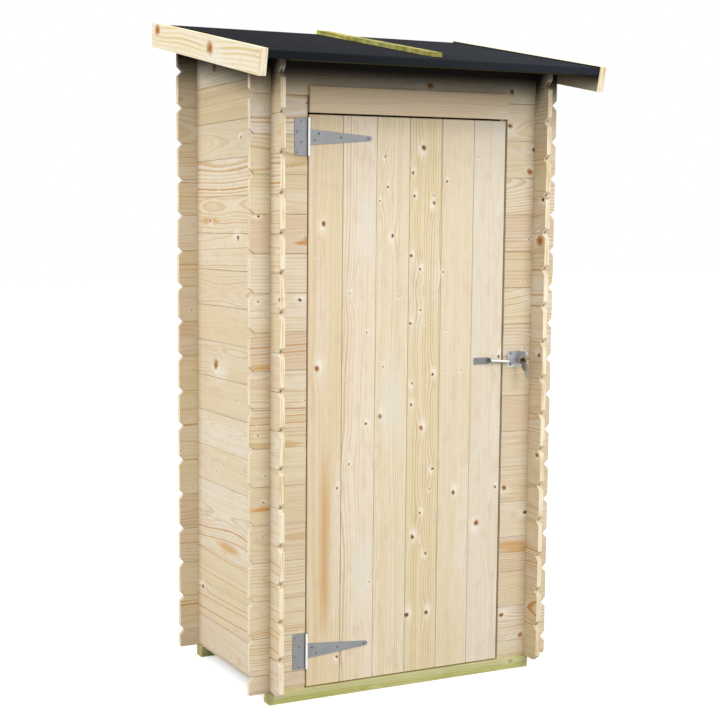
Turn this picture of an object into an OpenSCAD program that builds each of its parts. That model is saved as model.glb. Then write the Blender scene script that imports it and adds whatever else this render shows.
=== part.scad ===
// Narrow garden tool shed of interlocking tongue-and-groove log boards.
// Front is toward -Y and +Z is up. The origin is on the ground, under the middle of the roof.

/* [Walls] */
// Width over the outer faces of the side walls
wall_w = 932; // [850:1:1300]
// Depth over the outer faces of the front and rear walls
wall_d = 564; // [460:1:800]
// Height that one log adds to a wall
log_h = 114; // [92:1:138]
// Thickness of the logs
log_t = 16; // [13:0.5:24]
// Length of log that passes beyond a crossing
log_end = 65; // [50:1:90]
// Size of the 45 degree cut at a log's end corners
end_cut = 15; // [6:0.5:20]
// Whole logs in the front wall, above its half log
front_courses = 16; // [12:1:18]
// Bevel on the long edges of each log
log_bevel = 1.2; // [0.5:0.1:3]
// Height of the drip bevel under the lowest logs
drip_h = 14; // [6:1:20]
// Depth of the drip bevel
drip_d = 4; // [1:0.5:5]

/* [Bearers and floor] */
// Height of the treated bearers
bearer_h = 34; // [25:1:60]
// Depth of the bearers, front to back
bearer_d = 39; // [32:1:60]
// How far the front bearer shows in front of the wall
bearer_show = 9; // [0:1:14]
// How much shorter the bearers are than the walls are wide
bearer_short = 4; // [0:1:20]
// Thickness of the floor boards
floor_t = 16; // [12:1:22]
// Number of floor boards
floor_n = 10; // [7:1:12]

/* [Door] */
// Width of the opening between the short logs
open_w = 696; // [600:1:780]
// Gap round the closed door
door_gap = 5; // [5:0.5:6]
// Gap on the latch side of the door
latch_gap = 7; // [5:0.5:9]
// Thickness of the door boards
door_t = 16; // [13:0.5:24]
// Number of door boards
door_n = 6; // [5:1:7]
// Bevel that makes the V joints of the door
door_bevel = 1.5; // [1:0.1:3]
// Height of the board over the door
header_h = 75; // [60:1:90]
// Thickness of the board over the door
header_t = 11; // [8:0.5:20]
// How far the header board hangs below the top log
header_drop = 49; // [40:1:60]
// How far the header board passes the door's hinge edge
header_past = 1.5; // [0:0.1:2]
// Width of the ledges behind the door
ledge_w = 90; // [60:1:110]
// Thickness of the ledges behind the door
ledge_t = 16; // [12:1:20]
// Width of the door posts inside the wall
post_w = 40; // [30:1:50]
// Depth of the door posts
post_d = 34; // [28:1:45]
// Settling gap between the door posts and the top log
post_down = 9; // [5:1:20]
// Width of the stops fixed to the posts
stop_w = 12; // [8:1:12]

/* [Roof] */
// Barge boards' outer faces beyond the side walls
roof_side = 116; // [95:1:140]
// Roof beyond the front wall
roof_front = 177; // [120:1:210]
// Roof beyond the rear wall
roof_rear = 80; // [70:1:110]
// Thickness of the roof boards
roof_t = 19; // [15:0.5:22]
// Number of roof boards
roof_n = 10; // [8:1:12]
// Thickness of the roofing felt
felt_t = 3; // [1.5:0.5:4]
// Height of the barge boards
barge_h = 75; // [60:1:100]
// Thickness of the barge boards
barge_t = 24; // [16:0.5:26]
// How far the barge boards stand above the felt
barge_up = 4.4; // [2:0.1:12]
// Roof boards' front edge behind the barge boards' front ends
felt_back = 4.7; // [2:0.1:20]
// Width of the batten on the felt
batten_w = 36; // [25:1:45]
// Height of the batten on the felt
batten_t = 13; // [10:0.5:20]
// Batten on the felt to the right of the middle
batten_off = 29; // [-60:1:60]
// Batten's front end behind the felt's front edge
batten_back = 80; // [20:1:120]
// Length of the lath under the eave
eave_w = 960; // [700:1:1000]
// Width of the lath under the eave
eave_d = 28; // [18:1:40]
// Thickness of the lath under the eave
eave_t = 5; // [4:0.5:12]
// Eave lath behind the roof boards' front edge
eave_back = 12; // [5:1:40]
// Outer radius of the felt's fold
felt_r = 3.6; // [3:0.1:8]

/* [Hinges] */
// Middle of the upper hinge below the door's top edge
hinge_down = 65; // [60:1:200]
// Middle of the lower hinge above the door's bottom edge
hinge_up = 111; // [60:1:300]
// Height of the hinge plate on the wall
plate_h = 108; // [90:1:120]
// Width of the hinge plate on the wall
plate_w = 44.5; // [35:0.5:50]
// Length of the strap on the door
strap_len = 212; // [160:1:260]
// Height of the strap at its root
strap_h = 46; // [36:1:50]
// Width of the strap at its tip
strap_tip = 14; // [12:1:20]
// Thickness of the hinge metal
hinge_t = 2.2; // [1.6:0.1:2.2]
// Outer radius of the hinge knuckles
knuckle_r = 4.5; // [4.5:0.1:5]
// Radius of the hinge pins
pin_r = 2.25; // [1.8:0.05:2.25]
// Radius of the screw holes
screw_r = 2.4; // [1.8:0.1:3]

/* [Latch] */
// Height of the bar's seat in the keep, above the walls' lower edge
latch_z = 964; // [700:1:1200]
// Radius of the latch bar
bar_r = 4; // [3:0.1:4.5]
// Distance of the latch bar's centre from the wall
bar_off = 11.4; // [10:0.1:13]
// Thickness of the latch metal
latch_t = 2.5; // [2:0.1:3]
// Length of the plate that carries the bar
strike_w = 54; // [45:1:70]
// Height of the plate that carries the bar
strike_h = 20; // [18:1:24]
// Strike plate's far end from the door's latch edge
strike_in = 49; // [40:1:60]
// Height of the strike plate's middle above the bar's seat in the keep
strike_up = 7; // [4:0.5:9]
// Rise of the bar from the strike plate's middle to its root
root_up = 1.5; // [0:0.5:2]
// Width of the keep plate on the wall
keep_w = 40; // [32:1:48]
// Height of the keep plate
keep_h = 51; // [46:1:60]
// Middle of the keep plate above the seat
keep_up = 9; // [5:0.5:11]
// Radius of the keep plate's free corners
keep_r = 14; // [8:0.5:18]
// Keep plate's near edge from the opening
keep_in = 12; // [8:1:20]
// Reach of the keep's upper jaw in front of the wall
jaw = 58; // [48:1:66]
// Radius of the upper jaw's tip
jaw_r = 5; // [3:0.5:6]
// Width of the lead-in lip at the upper jaw's tip
jaw_lip = 7.5; // [5:0.5:10]
// Reach of the keep's lower jaw in front of the wall
low_jaw = 29; // [24:1:32]
// Clearance of the bar in the keep's mouth
mouth_gap = 1.2; // [0.8:0.1:2]
// Reach of the latch arm's front edge in front of the wall
arm_out = 44; // [38:1:48]
// Reach of the latch arm's nose in front of the wall
arm_nose = 46; // [44:1:52]
// Depth of the latch arm below the seat
arm_down = 28; // [22:1:32]
// Gap between the bar and the latch arm
arm_play = 2; // [1:0.5:3]
// Width of the flange along the latch arm's front edge
flange_w = 9.5; // [6:0.5:11]
// Width of the latch arm's thumb tab
thumb_w = 15; // [10:0.5:17]
// Length of the thumb tab
thumb_l = 22; // [14:1:28]
// Outward lean of the thumb tab, in degrees
thumb_lean = 16; // [0:1:25]
// Radius of the latch arm's rivet
rivet_r = 2.5; // [2:0.1:3]

/* [Hidden] */
$fn = 48;
fit = 0.3;
slit = 0.4;
run = 0.05;
tongue_w = 5;
tongue_d = 8;
tongue_slack = 0.3;
eps = 1;
big = 4000;

front_top = (front_courses + 0.5) * log_h;
open_h = front_top - log_h;
open_x = (wall_w - open_w) / 2;
rise = log_h;
pitch = atan(rise / (wall_d - log_t));
top_bevel = log_t * tan(pitch);
barge_top = roof_t + felt_t + barge_up;
barge_y = (barge_top * sin(pitch) - roof_front) / cos(pitch);
felt_y = barge_y + felt_back;
board_y = felt_y + felt_t;
rear_y = wall_d + roof_rear;
board_rear = rear_y / cos(pitch) - felt_t;
roof_in = roof_side - barge_t;
roof_w = wall_w + 2 * roof_in;
mid_y = (rear_y - roof_front) / 2;
function roof_z(y) = front_top + y * tan(pitch);
side_courses = floor(roof_z(-log_end) / log_h);
gable_logs = ceil((roof_z(wall_d + log_end) - side_courses * log_h) / log_h - 0.02);

header_z = open_h - header_drop;
door_x = open_x + door_gap;
door_w = open_w - door_gap - latch_gap;
door_h = header_z - 2 * door_gap;
ledge_in = stop_w + door_gap + 5;
upper_z = door_gap + door_h - hinge_down;
lower_z = door_gap + hinge_up;
hinge_x = open_x + door_gap / 2;
post_h = open_h - post_down - floor_t - fit;
board_cover = door_w / door_n;

arm_gap = 1.5;
bar_end = 5;
strike_t = 3;
head_h = 1.5;
boss_r = 8;
keep_x = open_x + open_w + keep_in;
ear_x = keep_x + keep_w - latch_t;
arm_x = ear_x + latch_t + arm_gap;
strike_x = door_x + door_w - strike_in - strike_w;
keep_low = keep_up - keep_h / 2;
keep_top = keep_up + keep_h / 2;
seat_r = bar_r + mouth_gap;
pivot_y = -15;
pivot_z = 22;

wood = [0.88, 0.82, 0.70];
end_wood = [0.84, 0.74, 0.58];
treated = [0.72, 0.70, 0.42];
felt_grey = [0.20, 0.21, 0.23];
zinc = [0.60, 0.61, 0.62];
bright = [0.86, 0.87, 0.88];

// Moves a piece from the walls' corner to the part's origin.
module placed() {
    translate([-wall_w / 2, -mid_y, bearer_h]) children();
}

// Moves a piece onto the sloping underside of the roof.
module on_roof() {
    translate([0, 0, front_top]) rotate([pitch, 0, 0]) children();
}

// Section of a board: width along x, thickness along y, groove at x = 0 and tongue at x = w.
function board_section(w, t, bevel, groove, tongue) =
    let (half = tongue_w / 2, wide = half + tongue_slack, deep = tongue_d + fit)
    concat(
        [[bevel, 0], [w - bevel, 0], [w, bevel]],
        tongue ? [[w, t / 2 - half], [w + tongue_d, t / 2 - half],
            [w + tongue_d, t / 2 + half], [w, t / 2 + half]] : [],
        [[w, t - bevel], [w - bevel, t], [bevel, t], [0, t - bevel]],
        groove ? [[0, t / 2 + wide], [deep, t / 2 + wide],
            [deep, t / 2 - wide], [0, t / 2 - wide]] : [],
        [[0, bevel]]);

// Section of a lowest log: no groove, and a drip bevel under its outer face at y = 0.
function drip_section(w) =
    let (half = tongue_w / 2)
    [[0, drip_d], [drip_h, 0], [w - log_bevel, 0], [w, log_bevel],
        [w, log_t / 2 - half], [w + tongue_d, log_t / 2 - half],
        [w + tongue_d, log_t / 2 + half], [w, log_t / 2 + half],
        [w, log_t - log_bevel], [w - log_bevel, log_t], [log_bevel, log_t], [0, log_t - log_bevel]];

// Side view of a log with cut corners and with the notches where it crosses other walls.
// low is the notch's depth from below and high its upper limit.
function log_outline(length, h, cuts, cut_low, spots, low, high) =
    let (top = h + tongue_d + eps, lean = tongue_d + eps)
    concat(
        cuts[0] && cut_low ? [[0, end_cut], [end_cut, 0]] : [[0, 0]],
        low > 0 ? [for (s = spots, p = [[-fit, 0], [-fit, low], [log_t + fit, low],
            [log_t + fit, 0]]) [s + p[0], p[1]]] : [],
        cuts[1] && cut_low ? [[length - end_cut, 0], [length, end_cut]] : [[length, 0]],
        cuts[1] ? [[length, h - end_cut], [length - end_cut - lean, top]] : [[length, top]],
        [for (i = [len(spots) - 1 : -1 : 0], p = [[log_t + fit, top], [log_t + fit, high],
            [-fit, high], [-fit, top]]) [spots[i] + p[0], p[1]]],
        cuts[0] ? [[end_cut + lean, top], [0, h - end_cut]] : [[0, top]]);

// One log along x from x = 0, standing on z = 0, with its outer face at y = 0.
module log(length, kind = "full", spots = [], cuts = [true, true]) {
    h = kind == "half" ? log_h / 2 : kind == "top" ? log_h + top_bevel + fit : log_h;
    body = kind == "top" ? h : h - slit;
    low = kind == "half" ? 0 : log_h / 4 + fit;
    high = (kind == "half" ? log_h / 4 : 3 * log_h / 4) - fit;
    lowest = kind == "half" || kind == "base";
    square_top = kind == "top" ? end_cut : 0;
    intersection() {
        translate([length, 0, 0]) rotate([0, -90, 0]) linear_extrude(length)
            polygon(lowest ? drip_section(body)
                : board_section(body, log_t, log_bevel, true, kind != "top"));
        translate([0, log_t + eps, 0]) rotate([90, 0, 0]) linear_extrude(log_t + 2 * eps)
            polygon(log_outline(length, body + square_top, cuts, kind != "half",
                spots, low, high));
    }
}

// Turns a log so that its outer face looks to +Y instead of -Y.
module faced_back() {
    translate([0, log_t, 0]) mirror([0, 1, 0]) children();
}

// Turns a log along the depth, for the left wall or the right one.
module along_left() {
    translate([log_t, -log_end, 0]) rotate([0, 0, 90]) faced_back() children();
}

module along_right() {
    translate([wall_w, -log_end, 0]) rotate([0, 0, 90]) children();
}

// Everything under the roof boards.
module under_roof() {
    translate([0, 0, -fit]) on_roof() translate([-big / 2, -big / 2, -big])
        cube([big, big, big]);
}

// Short logs between a side wall and the doorway, with the half log first.
module short_logs() {
    length = log_end + open_x;
    log(length, "half", [log_end], [true, false]);
    for (k = [1 : front_courses - 1])
        translate([0, 0, (k - 0.5) * log_h]) log(length, "full", [log_end], [true, false]);
}

module front_logs_left() {
    color(wood) placed() translate([-log_end, 0, 0]) short_logs();
}

module front_logs_right() {
    color(wood) placed() translate([wall_w + log_end, 0, 0]) mirror([1, 0, 0]) short_logs();
}

module front_log_top() {
    color(wood) placed() intersection() {
        translate([-log_end, 0, open_h])
            log(wall_w + 2 * log_end, "top", [log_end, log_end + wall_w - log_t]);
        under_roof();
    }
}

module rear_logs() {
    length = wall_w + 2 * log_end;
    spots = [log_end, log_end + wall_w - log_t];
    color(wood) placed() translate([-log_end, wall_d - log_t, 0]) {
        faced_back() log(length, "half", spots);
        for (k = [1 : front_courses])
            translate([0, 0, (k - 0.5) * log_h]) faced_back() log(length, "full", spots);
    }
    color(wood) placed() intersection() {
        translate([-log_end, wall_d - log_t, front_top])
            faced_back() log(length, "top", spots);
        under_roof();
    }
}

// Whole side logs, from the ground up to the last one that the roof leaves square.
module side_logs(first, last) {
    length = wall_d + 2 * log_end;
    spots = [log_end, log_end + wall_d - log_t];
    for (k = [first : last])
        translate([0, 0, k * log_h]) log(length, k == 0 ? "base" : "full", spots);
}

module left_logs() {
    color(wood) placed() along_left() side_logs(0, side_courses - 1);
}

module right_logs() {
    color(wood) placed() along_right() side_logs(0, side_courses - 1);
}

// Upper side logs, cut to the roof's slope.
module gable_stack() {
    side_logs(side_courses, side_courses + gable_logs - 1);
}

module left_gable_logs() {
    color(wood) placed() intersection() {
        along_left() gable_stack();
        under_roof();
    }
}

module right_gable_logs() {
    color(wood) placed() intersection() {
        along_right() gable_stack();
        under_roof();
    }
}

module bearer() {
    cube([wall_w - bearer_short, bearer_d, bearer_h]);
}

module bearer_front() {
    color(treated) placed() translate([-bearer_short, -bearer_show, -bearer_h]) bearer();
}

module bearer_rear() {
    color(treated) placed()
        translate([-bearer_short, wall_d - bearer_show - bearer_d, -bearer_h]) bearer();
}

// A row of boards along y, side by side in x, with their lower faces at z = 0.
module board_row(n, cover, length, t, bevel) {
    for (i = [0 : n - 1])
        translate([i * cover, length, 0]) rotate([90, 0, 0]) linear_extrude(length)
            polygon(board_section(i == n - 1 ? cover : cover - slit, t, bevel, i > 0, i < n - 1));
}

module floor_boards() {
    front = log_t + door_gap + fit;
    width = wall_w - 2 * (log_t + fit);
    color(wood) placed() translate([log_t + fit, front, 0])
        board_row(floor_n, width / floor_n, wall_d - log_t - fit - front, floor_t, 0.6);
}

module door_post() {
    cube([post_w, post_d, post_h]);
}

module door_post_left() {
    color(wood) placed() translate([open_x - post_w, log_t, floor_t + fit]) door_post();
}

module door_post_right() {
    color(wood) placed() translate([open_x + open_w, log_t, floor_t + fit]) door_post();
}

module door_stop() {
    cube([stop_w, post_d - door_gap, post_h]);
}

module door_stop_left() {
    color(wood) placed() translate([open_x, log_t + door_gap, floor_t + fit]) door_stop();
}

module door_stop_right() {
    color(wood) placed()
        translate([open_x + open_w - stop_w, log_t + door_gap, floor_t + fit]) door_stop();
}

module header_board() {
    color(wood) placed() translate([door_x - header_past, -header_t, header_z])
        cube([door_w + header_past, header_t, header_h]);
}

module roof_boards() {
    color(end_wood) placed() on_roof() translate([-roof_in, board_y, 0])
        board_row(roof_n, roof_w / roof_n, board_rear - board_y, roof_t, 1);
}

// Felt over the boards, folded down over their front and rear ends.
module roof_felt() {
    r = felt_r;
    deep = roof_t + felt_t;
    length = board_rear + felt_t - felt_y;
    color(felt_grey) placed() on_roof() translate([wall_w + roof_in - fit, felt_y, 0])
        rotate([0, -90, 0]) linear_extrude(roof_w - 2 * fit) difference() {
            union() {
                square([deep - r, length]);
                translate([0, r]) square([deep, length - 2 * r]);
                for (y = [r, length - r]) translate([deep - r, y]) circle(r);
            }
            translate([-eps, felt_t]) square([roof_t + eps, length - 2 * felt_t]);
        }
}

module barge() {
    color(wood) placed() intersection() {
        on_roof() translate([0, barge_y, barge_top - barge_h])
            cube([barge_t, big / 2, barge_h]);
        translate([-eps, -big / 2, 0]) cube([barge_t + 2 * eps, big / 2 + rear_y, big]);
    }
}

module barge_left() {
    translate([-roof_side, 0, 0]) barge();
}

module barge_right() {
    translate([wall_w + roof_in, 0, 0]) barge();
}

module eave_batten() {
    color(treated) placed() on_roof()
        translate([(wall_w - eave_w) / 2, board_y + eave_back, -eave_t])
            cube([eave_w, eave_d, eave_t]);
}

module roof_batten() {
    front = felt_y + batten_back;
    color(treated) placed() on_roof()
        translate([(wall_w - batten_w) / 2 + batten_off, front, roof_t + felt_t])
            cube([batten_w, board_rear + felt_t - front, batten_t]);
}

module door_boards() {
    color(wood) placed() translate([door_x, 0, door_gap]) for (i = [0 : door_n - 1])
        translate([i * board_cover, 0, 0]) linear_extrude(door_h)
            polygon(board_section(i == door_n - 1 ? board_cover : board_cover - slit, door_t,
                door_bevel, i > 0, i < door_n - 1));
}

module door_ledge(z) {
    color(wood) placed() translate([open_x + ledge_in, door_t, z - ledge_w / 2])
        cube([open_w - 2 * ledge_in, ledge_t, ledge_w]);
}

module door_ledge_upper() {
    door_ledge(upper_z);
}

module door_ledge_lower() {
    door_ledge(lower_z);
}

// Diagonal brace from the lower ledge on the hinge side to the upper one on the latch side.
module door_brace() {
    x0 = open_x + ledge_in;
    x1 = open_x + open_w - ledge_in;
    z0 = lower_z + ledge_w / 2 + fit;
    z1 = upper_z - ledge_w / 2 - fit;
    wide = ledge_w * 0.8;
    color(wood) placed() translate([0, door_t + ledge_t, 0]) rotate([90, 0, 0])
        linear_extrude(ledge_t)
            polygon([[x0, z0], [x0 + wide, z0], [x1, z1], [x1 - wide, z1]]);
}

module screw_hole() {
    rotate([-90, 0, 0]) translate([0, 0, -eps]) cylinder(r = screw_r, h = knuckle_r * 2 + 2 * eps);
}

// Puts a hinge at its height. The lower one is the same hinge turned upside down.
module hinge_place(z, flip) {
    color(zinc) placed() translate([hinge_x, -knuckle_r, z]) mirror([0, 0, flip ? 1 : 0])
        children();
}

// Plate on the wall, with a knuckle above and below the strap's.
module hinge_plate() {
    clear = strap_h / 2 + slit;
    difference() {
        union() {
            translate([-plate_w, knuckle_r - hinge_t, -plate_h / 2])
                cube([plate_w - knuckle_r - 2 * fit, hinge_t, plate_h]);
            for (z = [-plate_h / 2, clear]) translate([0, 0, z]) {
                cylinder(r = knuckle_r, h = plate_h / 2 - clear);
                translate([-knuckle_r - 1, knuckle_r - hinge_t, 0])
                    cube([knuckle_r + 1, hinge_t, plate_h / 2 - clear]);
            }
        }
        translate([0, 0, -plate_h]) cylinder(r = pin_r + run, h = 2 * plate_h);
        for (i = [0 : 3]) {
            translate([i % 2 == 0 ? -0.52 * plate_w : -0.83 * plate_w, 0,
                plate_h * (0.415 - 0.277 * i)]) screw_hole();
        }
    }
}

// Tapered strap on the door, with the middle knuckle.
module hinge_strap() {
    tip = strap_tip / 2;
    difference() {
        union() {
            translate([0, 0, -strap_h / 2]) cylinder(r = knuckle_r, h = strap_h);
            translate([0, knuckle_r, 0]) rotate([90, 0, 0]) linear_extrude(hinge_t) {
                polygon([[0, -strap_h / 2], [knuckle_r + 3, -strap_h / 2],
                    [strap_len - tip, -tip], [strap_len - tip, tip],
                    [knuckle_r + 3, strap_h / 2], [0, strap_h / 2]]);
                translate([strap_len - tip, 0]) circle(tip);
            }
        }
        translate([0, 0, -strap_h]) cylinder(r = pin_r + run, h = 2 * strap_h);
        for (p = [[0.165, 0.22], [0.095, -0.2], [0.505, 0], [0.935, 0]])
            translate([p[0] * strap_len, 0, p[1] * strap_h]) screw_hole();
    }
}

// Pin with a low head at each end.
module hinge_pin() {
    reach = plate_h / 2 + fit;
    translate([0, 0, -reach]) cylinder(r = pin_r, h = 2 * reach);
    for (z = [-reach - head_h, reach]) translate([0, 0, z])
        cylinder(r = knuckle_r - 0.7, h = head_h);
}

module hinge_plate_upper() {
    hinge_place(upper_z, false) hinge_plate();
}

module hinge_strap_upper() {
    hinge_place(upper_z, false) hinge_strap();
}

module hinge_pin_upper() {
    hinge_place(upper_z, false) hinge_pin();
}

module hinge_plate_lower() {
    hinge_place(lower_z, true) hinge_plate();
}

module hinge_strap_lower() {
    hinge_place(lower_z, true) hinge_strap();
}

module hinge_pin_lower() {
    hinge_place(lower_z, true) hinge_pin();
}

// Places a plate drawn in depth and height, with its left face at x.
module upright(x, t) {
    translate([x, 0, latch_z]) rotate([90, 0, 90]) linear_extrude(t) children();
}

// Places a plate drawn in width and height, with its back at y and its lower end leaning out.
module facing(x, y, z, t, lean = 0) {
    translate([x, y, latch_z + z]) rotate([90 - lean, 0, 0]) linear_extrude(t) children();
}

// The keep's round-cornered plate on the wall.
module keep_plate() {
    inset = keep_h * 0.15;
    facing(keep_x, 0, 0, latch_t) difference() {
        union() {
            translate([0, keep_low + keep_r]) square([keep_w, keep_h - 2 * keep_r]);
            translate([keep_r, keep_low]) square([keep_w - keep_r, keep_h]);
            for (z = [keep_low + keep_r, keep_top - keep_r]) translate([keep_r, z])
                circle(keep_r);
        }
        for (z = [keep_low + inset, keep_top - inset]) translate([keep_r, z]) circle(screw_r);
    }
}

// The keep's ear: two jaws about an open mouth that takes the bar.
module keep_ear() {
    mouth_top = keep_top - 2 * jaw_r;
    low_tip = seat_r + 3;
    difference() {
        union() {
            polygon([[0, keep_low], [0, keep_top], [jaw_r - jaw, keep_top],
                [-jaw, keep_top - jaw_r], [-jaw, mouth_top], [-seat_r - bar_off, 0],
                [-low_jaw, -low_tip], [-low_jaw, keep_low + jaw_r], [jaw_r - low_jaw, keep_low]]);
            translate([jaw_r - jaw, keep_top - jaw_r]) circle(jaw_r);
        }
        translate([-bar_off, 0]) circle(seat_r);
        polygon([[-bar_off, seat_r], [-jaw - eps, mouth_top + eps * (mouth_top - seat_r)
            / (jaw - bar_off)], [-jaw - eps, -low_tip], [-low_jaw, -low_tip],
            [-bar_off, -seat_r]]);
        translate([pivot_y, pivot_z]) circle(rivet_r + run);
    }
}

module latch_keep() {
    color(zinc) placed() {
        keep_plate();
        upright(ear_x, latch_t) keep_ear();
        facing(ear_x + latch_t - jaw_lip, latch_t - jaw, keep_top - 2 * jaw_r, latch_t)
            square([jaw_lip, 2 * jaw_r]);
    }
}

// Rivet through the ear and the arm, with a low head on each side.
module latch_rivet() {
    grip = 2 * latch_t + arm_gap + 2 * fit;
    color(bright) placed() translate([ear_x - fit, pivot_y, latch_z + pivot_z])
        rotate([0, 90, 0]) {
            cylinder(r = rivet_r, h = grip);
            for (z = [-head_h, grip]) translate([0, 0, z])
                cylinder(r = rivet_r + 2, h = head_h);
        }
}

// The arm's plate: it hangs from the rivet, in front of the bar.
module arm_plate() {
    inner = bar_off + bar_r + arm_play;
    difference() {
        union() {
            translate([pivot_y, pivot_z]) circle(boss_r);
            polygon([[pivot_y, pivot_z + boss_r], [pivot_y - boss_r, pivot_z + boss_r - 3],
                [3 - arm_nose, boss_r + 3], [-arm_nose, boss_r], [-arm_nose, 0],
                [-arm_out, -bar_r - 1], [-arm_out, -arm_down], [-arm_out + 10, 2 - arm_down],
                [-inner - 3, -arm_down / 2], [-inner, -boss_r], [-inner, boss_r - 1],
                [pivot_y + 6, pivot_z - 6]]);
        }
        translate([pivot_y, pivot_z]) circle(rivet_r + run);
    }
}

// Latch arm with a flange bent along its front edge, which runs out into a thumb tab.
module latch_arm() {
    top = -bar_r - 1;
    color(zinc) placed() {
        upright(arm_x, latch_t) arm_plate();
        facing(arm_x, latch_t - arm_out, -arm_down, latch_t)
            square([flange_w, arm_down + top]);
        facing(arm_x, latch_t - arm_out, 1 - arm_down, latch_t, thumb_lean) {
            polygon([[0, 0], [flange_w + 1, 0], [thumb_w, -thumb_w / 2],
                [thumb_w, thumb_w / 2 - thumb_l], [0, thumb_w / 2 - thumb_l]]);
            translate([thumb_w / 2, thumb_w / 2 - thumb_l]) circle(thumb_w / 2);
        }
    }
}

// Plate on the door with an upturned round end that carries the bar, which falls to its seat.
module latch_bar() {
    lug_r = bar_r + 3;
    lug_x = strike_x + strike_w - strike_t;
    root_z = strike_up + root_up;
    reach = arm_x + latch_t + bar_end - lug_x;
    fall = atan(root_z / (ear_x - lug_x));
    color(zinc) placed() {
        facing(strike_x, 0, strike_up - strike_h / 2, strike_t) difference() {
            square([strike_w, strike_h]);
            for (x = [0.2, 0.8]) translate([x * strike_w, strike_h / 2]) circle(screw_r);
        }
        upright(lug_x, strike_t) {
            translate([-bar_off, root_z - lug_r]) square([bar_off, 2 * lug_r]);
            translate([-bar_off, root_z]) circle(lug_r);
        }
        translate([lug_x, -bar_off, latch_z + root_z]) rotate([0, 90 + fall, 0])
            cylinder(r = bar_r, h = reach / cos(fall));
    }
}

bearer_front();
bearer_rear();
floor_boards();
front_logs_left();
front_logs_right();
front_log_top();
rear_logs();
left_logs();
right_logs();
left_gable_logs();
right_gable_logs();
door_post_left();
door_post_right();
door_stop_left();
door_stop_right();
header_board();
roof_boards();
roof_felt();
barge_left();
barge_right();
eave_batten();
roof_batten();
door_boards();
door_ledge_upper();
door_ledge_lower();
door_brace();
hinge_plate_upper();
hinge_strap_upper();
hinge_pin_upper();
hinge_plate_lower();
hinge_strap_lower();
hinge_pin_lower();
latch_keep();
latch_rivet();
latch_arm();
latch_bar();
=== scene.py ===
"""Finishes, screws, light and camera for the log-board garden tool shed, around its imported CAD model."""
import math
import random

import bmesh
import bpy
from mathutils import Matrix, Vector


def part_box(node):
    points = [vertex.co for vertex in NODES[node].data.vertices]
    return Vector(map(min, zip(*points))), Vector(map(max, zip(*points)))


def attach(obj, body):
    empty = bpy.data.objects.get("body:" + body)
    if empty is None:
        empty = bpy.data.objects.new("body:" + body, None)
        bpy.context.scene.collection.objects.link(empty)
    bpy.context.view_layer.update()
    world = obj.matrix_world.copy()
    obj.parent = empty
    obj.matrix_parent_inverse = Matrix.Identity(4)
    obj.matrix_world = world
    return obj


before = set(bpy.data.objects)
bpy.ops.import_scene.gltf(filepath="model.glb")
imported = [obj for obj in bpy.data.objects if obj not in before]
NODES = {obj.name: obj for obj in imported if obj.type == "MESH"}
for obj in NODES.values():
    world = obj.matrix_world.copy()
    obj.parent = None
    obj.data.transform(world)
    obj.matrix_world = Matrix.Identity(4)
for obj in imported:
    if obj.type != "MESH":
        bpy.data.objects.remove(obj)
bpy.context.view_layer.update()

# ---------------------------------------------------------------- sizes, from the frame, in metres

SIDE_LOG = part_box("left_logs")
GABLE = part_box("left_gable_logs")
FRONT_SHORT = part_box("front_logs_left")
FRONT_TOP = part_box("front_log_top")
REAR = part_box("rear_logs")
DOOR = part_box("door_boards")
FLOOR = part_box("floor_boards")
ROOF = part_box("roof_boards")
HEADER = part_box("header_board")
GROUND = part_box("bearer_front")[0].z
WALL_FOOT = SIDE_LOG[0].z
LOG_HEIGHT = 2 * (GABLE[0].z - FRONT_TOP[0].z)
DOOR_BOARDS = 6
FLOOR_BOARDS = 10
ROOF_BOARDS = 10
DOOR_COVER = (DOOR[1].x - DOOR[0].x) / DOOR_BOARDS
FLOOR_COVER = (FLOOR[1].x - FLOOR[0].x) / FLOOR_BOARDS
ROOF_COVER = (ROOF[1].x - ROOF[0].x) / ROOF_BOARDS
ROOF_PITCH = math.atan(LOG_HEIGHT / (REAR[0].y - FRONT_SHORT[0].y))
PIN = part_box("hinge_pin_upper")
HINGE = (PIN[0] + PIN[1]) / 2
KNUCKLE_R = (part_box("hinge_strap_upper")[1].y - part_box("hinge_strap_upper")[0].y) / 2
LATCH_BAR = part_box("latch_bar")
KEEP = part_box("latch_keep")

# Sizes of the latch and hinge as in the part's source, which no box gives.
HINGE_T = 0.0022
LATCH_T = 0.0025
STRIKE_T = 0.003
STRIKE_W = 0.054
STRIKE_HALF = 0.010
BAR_R = 0.004
BAR_OFF = 0.0114
ROOT_RISE = 0.0015
SEAT_DROP = 0.0085
STRIKE_MIDDLE = LATCH_BAR[1].z - STRIKE_HALF
BAR_ROOT = Vector((LATCH_BAR[0].x + STRIKE_W - STRIKE_T, LATCH_BAR[1].y - BAR_OFF,
                   STRIKE_MIDDLE + ROOT_RISE))
SEAT = BAR_ROOT.z - SEAT_DROP
BAR_FALL = (BAR_ROOT.z - SEAT) / (KEEP[1].x - LATCH_T - BAR_ROOT.x)


def rgb(code):
    """Linear colour of a six-figure sRGB code."""
    parts = [int(code[i:i + 2], 16) / 255 for i in (0, 2, 4)]
    return tuple(p / 12.92 if p <= 0.04045 else ((p + 0.055) / 1.055) ** 2.4 for p in parts) + (1,)


# ---------------------------------------------------------------- shader writing

# Where a colour mix has its factor, its two colours and its result.
MIX_COLOUR_INPUTS = (0, 6, 7)
MIX_COLOUR_OUTPUT = 2
FAR_AWAY = 99.0


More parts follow.
